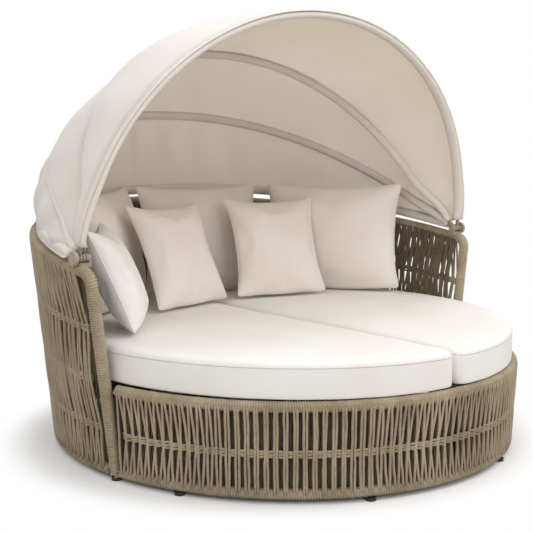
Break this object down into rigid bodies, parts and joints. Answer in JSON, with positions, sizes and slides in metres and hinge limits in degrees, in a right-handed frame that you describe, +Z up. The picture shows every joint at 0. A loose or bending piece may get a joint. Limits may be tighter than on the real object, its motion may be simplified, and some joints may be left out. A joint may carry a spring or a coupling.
{
  "type": "outdoor canopy daybed",
  "caption": "Round outdoor daybed with a woven rope base and back shell, half-round seat cushions, loose pillows and a folding fabric hood on pivoting bows.",
  "frame": {"origin": "on the floor under the middle of the round base", "axes": "+X to the right seen from the front, +Y from the front to the back shell, +Z up"},
  "size_m": [1.9974, 1.914, 1.6608],
  "materials": {
    "rope": "twisted outdoor rope over aluminium tube",
    "glide": "moulded",
    "deck_frame": "powder coated",
    "connector": "brushed",
    "seat_cushion": "fine plain weave over foam",
    "pillow": "fine plain weave, soft fill",
    "hood_cloth": "plain outdoor canvas",
    "bow": "powder coated",
    "hub_bracket": "powder coated",
    "hub_knob": "moulded",
    "pin": "brushed"
  },
  "bodies": {
    "frame": {"front_top_rail": "rope", "front_lower_frame": "rope", "front_weave_1": "rope", "front_weave_2": "rope", "front_weave_3": "rope", "front_weave_4": "rope", "front_weave_5": "rope", "front_weave_6": "rope", "shell_top_rail": "rope", "shell_lower_frame": "rope", "shell_weave_1": "rope", "shell_weave_2": "rope", "shell_weave_3": "rope", "shell_weave_4": "rope", "shell_weave_5": "rope", "shell_weave_6": "rope", "shell_weave_7": "rope", "right_post": "rope", "left_post": "rope", "front_glide_1": "glide", "front_glide_2": "glide", "front_glide_3": "glide", "front_glide_4": "glide", "shell_glide_1": "glide", "shell_glide_2": "glide", "shell_glide_3": "glide", "shell_glide_4": "glide", "right_post_glide": "glide", "left_post_glide": "glide", "front_deck": "deck_frame", "shell_deck": "deck_frame", "front_centre_leg": "deck_frame", "shell_centre_leg": "deck_frame", "left_connector": "connector", "right_connector": "connector", "left_seat_cushion": "seat_cushion", "right_seat_cushion": "seat_cushion", "left_back_pillow": "pillow", "middle_back_pillow": "pillow", "right_back_pillow": "pillow", "left_scatter_pillow": "pillow", "right_scatter_pillow": "pillow", "side_pillow": "pillow", "rear_bow": "bow", "rear_cloth": "hood_cloth", "right_hub_bracket": "hub_bracket", "right_pivot_pin": "pin", "right_hub_knob": "hub_knob", "left_hub_bracket": "hub_bracket", "left_pivot_pin": "pin", "left_hub_knob": "hub_knob"},
    "lower_bow": {"lower_bow": "bow", "middle_cloth": "hood_cloth"},
    "upper_bow": {"upper_bow": "bow"},
    "front_bow": {"front_bow": "bow", "front_cloth": "hood_cloth"}
  },
  "joints": [
    {"name": "lower_bow_fold", "type": "hinge", "parent": "frame", "child": "lower_bow", "pos_m": [0, -0.099, 0.776], "axis": [-1, 0, 0], "range_deg": [0, 15.4], "deforming": ["rear_cloth"]},
    {"name": "upper_bow_fold", "type": "hinge", "parent": "lower_bow", "child": "upper_bow", "pos_m": [0, -0.099, 0.776], "axis": [-1, 0, 0], "range_deg": [0, 21.9], "deforming": ["middle_cloth"]},
    {"name": "front_bow_fold", "type": "hinge", "parent": "upper_bow", "child": "front_bow", "pos_m": [0, -0.099, 0.776], "axis": [-1, 0, 0], "range_deg": [0, 42.3], "deforming": ["front_cloth"]}
  ],
  "couplings": [
    {"joint": "upper_bow_fold", "follows": "front_bow_fold", "ratio": 0.5177},
    {"joint": "lower_bow_fold", "follows": "front_bow_fold", "ratio": 0.364}
  ]
}
